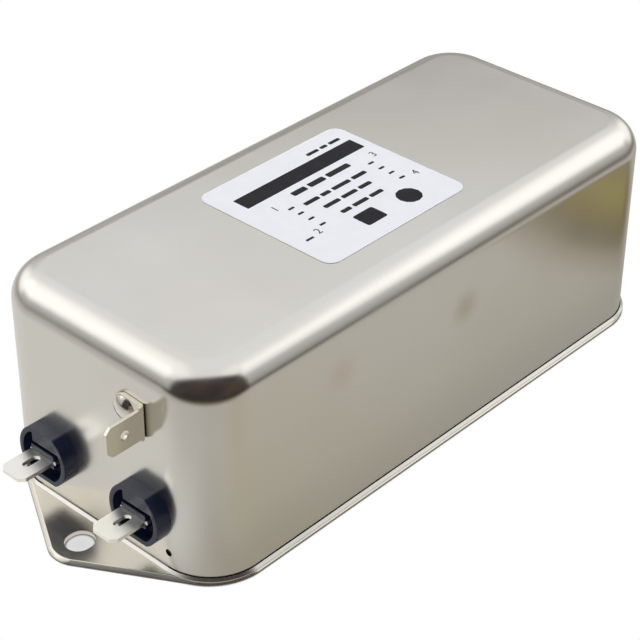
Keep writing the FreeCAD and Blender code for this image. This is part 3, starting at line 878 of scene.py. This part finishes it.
def in_groove(point):
    """Whether a point is in the groove at the foot of the long sides and corners."""
    low_down = PLATE_TOP < point.z < FLANGE_TOP - SEAM_DEPTH / 4
    by_wall = abs(beyond_wall(point)) < SEAM_WIDTH * 1.1
    return low_down and by_wall and abs(point.y) > WALL_Y - CORNER_RADIUS


def in_pip(point):
    """Whether a point is in the small hole low in the line end."""
    return point.x < 0 and (point - PIP_PLACE).yz.length < PIP_RADIUS


def paint_can(can):
    """Satin nickel with two faint stains on the long side, and painted shade in the groove and the pip."""
    olive_stain = ((3.4 * MM, -WALL_Y, 29.4 * MM), 5.2 * MM, (0.80, 0.79, 0.71))
    pink_stain = ((-31.4 * MM, -WALL_Y, 32.3 * MM), 5.5 * MM, (0.97, 0.90, 0.88))
    paint(nickel("can_nickel", (0.685, 0.675, 0.65), (0.665, 0.645, 0.605), (0.19, 0.26),
                 stains=(olive_stain, pink_stain)), can)
    # Painted shade: near black in the groove at the foot and inside the pip hole
    seam_and_pip_shade = moulded("seam_painted_shade", (0.010, 0.009, 0.007), (0.020, 0.018, 0.014), (0.6, 0.8))
    paint_faces(seam_and_pip_shade, can, lambda centre, normal: in_groove(centre) or in_pip(centre))


def paint_plate(plate):
    """Warmer nickel, with a darker colour on the upright edge below its slope."""
    paint(nickel("plate_nickel", (0.70, 0.68, 0.62), (0.68, 0.64, 0.55), (0.18, 0.25), haze=0.12), plate)
    lower_edge_top = PLATE_TOP - PLATE_EDGE_HEIGHT
    dark_lower_edge = nickel("plate_dark_lower_edge", (0.12, 0.115, 0.10), (0.09, 0.085, 0.07), (0.35, 0.45), haze=0.4)
    paint_faces(dark_lower_edge, plate, lambda centre, normal: abs(normal.z) < 0.3 and centre.z < lower_edge_top)


def paint_hidden_nodes():
    """Finishes of the parts inside the can, one for each kind."""
    finishes = {
        "insulating_liner": moulded("liner_film", (0.74, 0.72, 0.62), (0.82, 0.80, 0.70), (0.4, 0.5)),
        "board_tray": moulded("tray_plastic", (0.02, 0.02, 0.022), (0.03, 0.03, 0.032), (0.45, 0.55)),
        "circuit_board": moulded("board_laminate", (0.03, 0.13, 0.05), (0.04, 0.17, 0.07), (0.3, 0.4)),
        "choke_base": moulded("base_plastic", (0.02, 0.02, 0.022), (0.03, 0.03, 0.032), (0.45, 0.55)),
        "choke_core": moulded("ferrite", (0.015, 0.015, 0.016), (0.025, 0.025, 0.026), (0.55, 0.7)),
        "winding": metal("winding_copper", (0.55, 0.18, 0.05), (0.65, 0.25, 0.08), (0.15, 0.25)),
        "capacitor_x": moulded("capacitor_case", (0.70, 0.42, 0.02), (0.76, 0.48, 0.03), (0.3, 0.4)),
        "capacitor_y": moulded("capacitor_coating", (0.01, 0.07, 0.26), (0.015, 0.09, 0.3), (0.2, 0.3)),
        "bleed_resistor": moulded("resistor_coating", (0.30, 0.20, 0.10), (0.35, 0.24, 0.12), (0.35, 0.45)),
        "solder_joints": metal("solder", (0.6, 0.6, 0.58), (0.7, 0.7, 0.68), (0.2, 0.35)),
        "resin_fill": moulded("resin", (0.01, 0.01, 0.011), (0.015, 0.015, 0.016), (0.35, 0.5)),
        "earth_lead": metal("tinned_copper", (0.62, 0.60, 0.55), (0.7, 0.68, 0.63), (0.2, 0.3)),
    }
    for node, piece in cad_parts.items():
        for start, material in finishes.items():
            if node.startswith(start):
                paint(material, piece)


# Studio

def make_camera():
    """Camera fitted to the photograph: azimuth, height angle, roll, distance and offset."""
    azimuth, height, roll = math.radians(-47.416), math.radians(34.308), math.radians(0.352)
    distance, shift_right, shift_up = 391.908 * MM, -4.33 * MM, -6.102 * MM
    focal_pixels, picture_width, sensor = 1966.712, 640, 36
    back = Vector((math.sin(azimuth) * math.cos(height), -math.cos(azimuth) * math.cos(height),
                   math.sin(height)))
    right = (-back).cross(Vector((0, 0, 1))).normalized()
    up = right.cross(-back)
    turned_right = right * math.cos(roll) + up * math.sin(roll)
    turned_up = up * math.cos(roll) - right * math.sin(roll)
    aim = Vector((0, 0, 22 * MM))
    place = aim + back * distance + turned_right * shift_right + turned_up * shift_up
    bpy.ops.object.camera_add()
    camera = bpy.context.active_object
    camera.name = "camera"
    axes = Matrix((turned_right, turned_up, back)).transposed()
    camera.matrix_world = Matrix.Translation(place) @ axes.to_4x4()
    camera.data.sensor_width = sensor
    camera.data.lens = focal_pixels * sensor / picture_width
    camera.data.clip_start = 0.01
    bpy.context.scene.camera = camera
    return place


def area_lamp(name, place, aim, width, depth, power):
    bpy.ops.object.light_add(type="AREA", location=place)
    lamp = bpy.context.active_object
    lamp.name = name
    lamp.data.shape = "RECTANGLE"
    lamp.data.size = width
    lamp.data.size_y = depth
    lamp.data.energy = power
    lamp.rotation_euler = (Vector(aim) - Vector(place)).to_track_quat("-Z", "Y").to_euler()
    return lamp


def bare_material(name):
    """Material with an output node and nothing else."""
    material = bpy.data.materials.new(name)
    material.use_nodes = True
    nodes = material.node_tree.nodes
    nodes.clear()
    return material, nodes, material.node_tree.links, nodes.new("ShaderNodeOutputMaterial")


def glow(nodes, links, colour):
    """Emission node of a colour, at full strength until that is set."""
    node = nodes.new("ShaderNodeEmission")
    links.new(colour, node.inputs["Color"])
    return node


def mix_shaders(nodes, links, share, first, second):
    mix = nodes.new("ShaderNodeMixShader")
    links.new(share, mix.inputs["Fac"])
    links.new(first, mix.inputs[1])
    links.new(second, mix.inputs[2])
    return mix.outputs["Shader"]


def larger(nodes, links, first, second):
    node = nodes.new("ShaderNodeMath")
    node.operation = "MAXIMUM"
    links.new(first, node.inputs[0])
    links.new(second, node.inputs[1])
    return node.outputs["Value"]


def seen_directly(nodes, links):
    """One for rays from the camera and through glass, nought for the rest."""
    rays = nodes.new("ShaderNodeLightPath")
    return larger(nodes, links, rays.outputs["Is Camera Ray"], rays.outputs["Is Transmission Ray"])


def white_paper(nodes, links, place):
    """What the camera sees: white, with a painted thin contact shadow and a painted grey shadow on the paper
    under each ear hole.
    """
    gap_open = openness(nodes, 1.2 * MM, samples=16)
    # Painted contact shadow: the paper goes dark in the narrow gap under an edge
    line = remap(nodes, links, gap_open, 0.45, 0.75, new_low=0.03)
    both_ends = vector_step(nodes, links, "ABSOLUTE", place).outputs["Vector"]
    # Painted shadow on the paper seen through each ear hole
    hole_shadow = ramp_between(nodes, links, distance_from(nodes, links, both_ends, (EAR_HOLE_X, 0, 0)),
                              [(0, (0.68, 0.68, 0.68)), (0.0028, (0.72, 0.72, 0.72)), (0.0034, (1, 1, 1))])
    white = glow(nodes, links, hole_shadow)
    links.new(line, white.inputs["Strength"])
    return white.outputs["Emission"]


def shaded_paper(nodes, links, place, toward_camera):
    """What reflections see: painted shade on the paper, dimmer beside the long wall, an olive patch of
    painted shade beyond the far end, darker toward the camera, and dark where the paper runs out.
    """
    beside = ramp_along(nodes, links, (0, -1),
                        [(-0.02, (0.82, 0.80, 0.76)), (0.031, (0.475, 0.455, 0.405)),
                         (0.046, (0.56, 0.54, 0.48)), (0.062, (0.61, 0.585, 0.53)),
                         (0.12, (0.60, 0.575, 0.52))])
    lengthwise = ramp_along(nodes, links, (1, 0),
                            [(-0.085, (1, 1, 1)), (-0.05, (0.95, 0.92, 0.83)),
                             (-0.02, (0.98, 0.965, 0.91)), (0.015, (1, 1, 1))])
    patch_middle = (0.1, -0.062, 0)
    # Olive patch of painted shade beyond the far end of the long side, yellow at its middle
    olive_shade_patch = ramp_between(nodes, links, distance_from(nodes, links, place, patch_middle),
                               [(0, (0.80, 0.72, 0.30)), (0.0065, (0.60, 0.53, 0.22)),
                                (0.018, (0.43, 0.38, 0.27)), (0.024, (0.45, 0.42, 0.34)),
                                (0.030, (0.80, 0.77, 0.70)), (0.04, (1, 1, 1))])
    paper_middle = (-0.02, 0.06, 0)
    from_middle = distance_from(nodes, links, place, paper_middle)
    dark_edge = ramp_between(nodes, links, from_middle,
                             [(0.27, (1, 1, 1)), (0.30, (0.38, 0.35, 0.30)), (1.2, (0.3, 0.28, 0.27))])
    # Painted shade on the paper toward the camera
    camera_side_shade = ramp_along(nodes, links, toward_camera,
                             [(0.12, (1, 1, 1)), (0.165, (0.38, 0.34, 0.25)), (0.21, (0.05, 0.04, 0.02))])
    long_side = multiply(nodes, links, multiply(nodes, links, beside, lengthwise),
                         multiply(nodes, links, olive_shade_patch, dark_edge))
    past_line_end = ramp_along(nodes, links, (-1, 0.8), [(0.035, (0, 0, 0)), (0.07, (1, 1, 1))])
    line_end = ramp_between(nodes, links, from_middle,
                            [(0.088, (0.82, 0.80, 0.76)), (0.125, (0.64, 0.62, 0.58)),
                             (0.22, (0.64, 0.62, 0.58)), (0.34, (0.35, 0.32, 0.29)),
                             (1.2, (0.35, 0.32, 0.29))])
    both = blend(nodes, links, past_line_end, long_side, line_end)
    return glow(nodes, links, multiply(nodes, links, both, camera_side_shade)).outputs["Emission"]


def make_floor(toward_camera):
    """Sheet of paper, white to the camera and shaded in reflections."""
    deselect()
    bpy.ops.mesh.primitive_plane_add(size=8, location=(0, 0, 0))
    floor = name_new("floor")
    material, nodes, links, output = bare_material("floor_paper")
    place = object_place(nodes)
    white = white_paper(nodes, links, place)
    paper = shaded_paper(nodes, links, place, toward_camera)
    links.new(mix_shaders(nodes, links, seen_directly(nodes, links), paper, white),
              output.inputs["Surface"])
    paint(material, floor)


def make_world():
    """White backdrop, which the metal shows too; a plain grey level as light on the object."""
    world = bpy.data.worlds.new("studio")
    bpy.context.scene.world = world
    world.use_nodes = True
    nodes, links = world.node_tree.nodes, world.node_tree.links
    nodes.clear()
    output = nodes.new("ShaderNodeOutputWorld")
    level = nodes.new("ShaderNodeBackground")
    level.inputs["Color"].default_value = (0.40, 0.40, 0.42, 1)
    backdrop = nodes.new("ShaderNodeBackground")
    backdrop.inputs["Color"].default_value = (1, 1, 1, 1)
    rays = nodes.new("ShaderNodeLightPath")
    shown = larger(nodes, links, seen_directly(nodes, links), rays.outputs["Is Glossy Ray"])
    links.new(mix_shaders(nodes, links, shown, level.outputs["Background"], backdrop.outputs["Background"]),
              output.inputs["Surface"])


def only_in_reflections(piece):
    piece.visible_camera = False
    piece.visible_diffuse = False
    piece.visible_shadow = False
    piece.visible_transmission = False


def make_room_wall():
    """Low grey wall round the table, as pale as the backdrop at its top edge."""
    radius, height = 1.3, 0.92
    deselect()
    bpy.ops.mesh.primitive_cylinder_add(vertices=96, radius=radius, depth=height, end_fill_type="NOTHING",
                                        location=(0, 0, height / 2))
    wall = name_new("room_wall")
    material, nodes, links, output = bare_material("wall_grey")
    place = nodes.new("ShaderNodeTexCoord")
    split = nodes.new("ShaderNodeSeparateXYZ")
    links.new(place.outputs["Generated"], split.inputs["Vector"])
    greys = ramp_between(nodes, links, split.outputs["Z"],
                         [(0.0, (0.36, 0.35, 0.345)), (0.08, (0.44, 0.43, 0.42)), (0.25, (0.55, 0.54, 0.525)),
                          (0.43, (0.62, 0.61, 0.595)), (0.60, (0.62, 0.61, 0.595)),
                          (0.72, (0.68, 0.67, 0.655)), (0.92, (1, 0.995, 0.985)), (1.0, (1, 1, 1))])
    links.new(glow(nodes, links, greys).outputs["Emission"], output.inputs["Surface"])
    paint(material, wall)
    only_in_reflections(wall)


def soft_mask(nodes, links, cores):
    """One in the middle of a card and nought at its rim; cores are the shares that stay full,
    across and upward."""
    half_card = 0.5
    both = vector_step(nodes, links, "ABSOLUTE", object_place(nodes))
    split = nodes.new("ShaderNodeSeparateXYZ")
    links.new(both.outputs["Vector"], split.inputs["Vector"])
    product = nodes.new("ShaderNodeMath")
    product.operation = "MULTIPLY"
    for axis, core in enumerate(cores):
        fade = remap(nodes, links, split.outputs[axis], half_card * core, half_card, 1, 0, fade="SMOOTHSTEP")
        links.new(fade, product.inputs[axis])
    return product.outputs["Value"]


def soft_card(name, place, aim, width, height, colours, strength, cores, roll=0):
    """Card with faded edges and two mottled colours for the metal to reflect: window or curtain."""
    deselect()
    bpy.ops.mesh.primitive_plane_add(size=1, location=place)
    card = name_new(name)
    card.scale = (width, height, 1)
    facing = (Vector(aim) - Vector(place)).to_track_quat("Z", "Y")
    card.rotation_euler = (facing @ Quaternion((0, 0, 1), math.radians(roll))).to_euler()
    material, nodes, links, output = bare_material(name)
    mottle = spread(nodes, links, noise(nodes, links, scale=7, detail=2), 0, 1)
    light = glow(nodes, links, tint(nodes, links, mottle, *colours))
    light.inputs["Strength"].default_value = strength
    clear = nodes.new("ShaderNodeBsdfTransparent")
    links.new(mix_shaders(nodes, links, soft_mask(nodes, links, cores), clear.outputs["BSDF"],
                          light.outputs["Emission"]), output.inputs["Surface"])
    paint(material, card)
    only_in_reflections(card)


def sky(azimuth, height, distance):
    """Point at an angle round from +X and a height angle, in degrees."""
    a, h = math.radians(azimuth), math.radians(height)
    return Vector((math.cos(a) * math.cos(h), math.sin(a) * math.cos(h), math.sin(h))) * distance


def make_cards(aim):
    """Windows and lit ceiling that the metal reflects, a dark curtain and a dim corner."""
    curtain = ((0.006, 0.008, 0.028), (0.10, 0.065, 0.035))
    soft_card("dark_curtain", sky(-130, 0, 0.48), (0, 0, 0), 3.2, 2.6, curtain, 1, (0.78, 0.54), roll=-8)
    daylight = ((1, 0.995, 0.98), (1, 0.985, 0.96))
    # Name, place, width, height, strength, and the shares that stay full
    lights = [("window_right", sky(-22, 36, 1.1), 1.24, 0.80, 1.55, (0.3, 0.35)),
              ("window_low", sky(-2, 17, 1.15), 1.0, 0.86, 1.35, (0.4, 0.3)),
              ("glow_right", sky(-60, 60, 1.5), 1.4, 0.9, 1.16, (0.4, 0.35)),
              ("window_left", sky(119, 35, 1.1), 1.3, 0.80, 1.6, (0.4, 0.35)),
              ("window_left_low", sky(97, 19, 1.15), 1.1, 0.76, 1.42, (0.35, 0.3)),
              ("glow_left", sky(130, 58, 1.5), 1.8, 0.95, 1.27, (0.4, 0.35))]
    for name, place, width, height, strength, cores in lights:
        soft_card(name, place, aim, width, height, daylight, strength, cores)
    shade = ((0.37, 0.36, 0.335), (0.42, 0.405, 0.38))
    soft_card("dim_corner", sky(44, 20, 1.2), aim, 0.8, 0.49, shade, 1, (0.4, 0.6))


def build_studio():
    camera_place = make_camera()
    level = Vector((camera_place.x, camera_place.y, 0)).normalized()
    make_floor((level.x, level.y))
    make_world()
    make_room_wall()
    aim = Vector((0, 0, 0.03))
    make_cards(aim)
    lamp = area_lamp("overhead_lamp", (0.35, 0.35, 1.2), aim, width=1.0, depth=0.9, power=13)
    lamp.visible_glossy = False
    bpy.context.scene.view_settings.view_transform = "Standard"


def build_filter():
    can = model_can()
    plate = model_base_plate()
    bushing = model_bushing()
    tab = model_tab()
    paint_bushing(bushing)
    paint(metal("tin_plating", (0.90, 0.89, 0.85), (0.94, 0.93, 0.89), (0.30, 0.42), relief=0.06), tab)
    place_terminals(bushing, tab)
    earth = cleaned_copy("earth_tab", "earth_tab_sheet", EARTH_EDGE_ROUND)
    rivet = model_rivet()
    label = model_label()
    ink = model_print()
    paint_can(can)
    paint_plate(plate)
    # The earth tab and the rivet take painted shade where other surfaces stand close
    paint(nickel("earth_nickel", (0.72, 0.70, 0.62), (0.68, 0.65, 0.56), (0.15, 0.22), reach=0.5 * MM), earth)
    paint(nickel("rivet_nickel", (0.72, 0.70, 0.66), (0.76, 0.74, 0.70), (0.12, 0.2), reach=0.5 * MM), rivet)
    paint(moulded("label_film", (0.75, 0.765, 0.80), (0.78, 0.79, 0.825), (0.35, 0.45)), label)
    paint(moulded("label_ink", (0.006, 0.006, 0.009), (0.012, 0.012, 0.015), (0.4, 0.5),
                  sheen_level=0.15), ink)
    paint_hidden_nodes()


build_filter()
build_studio()
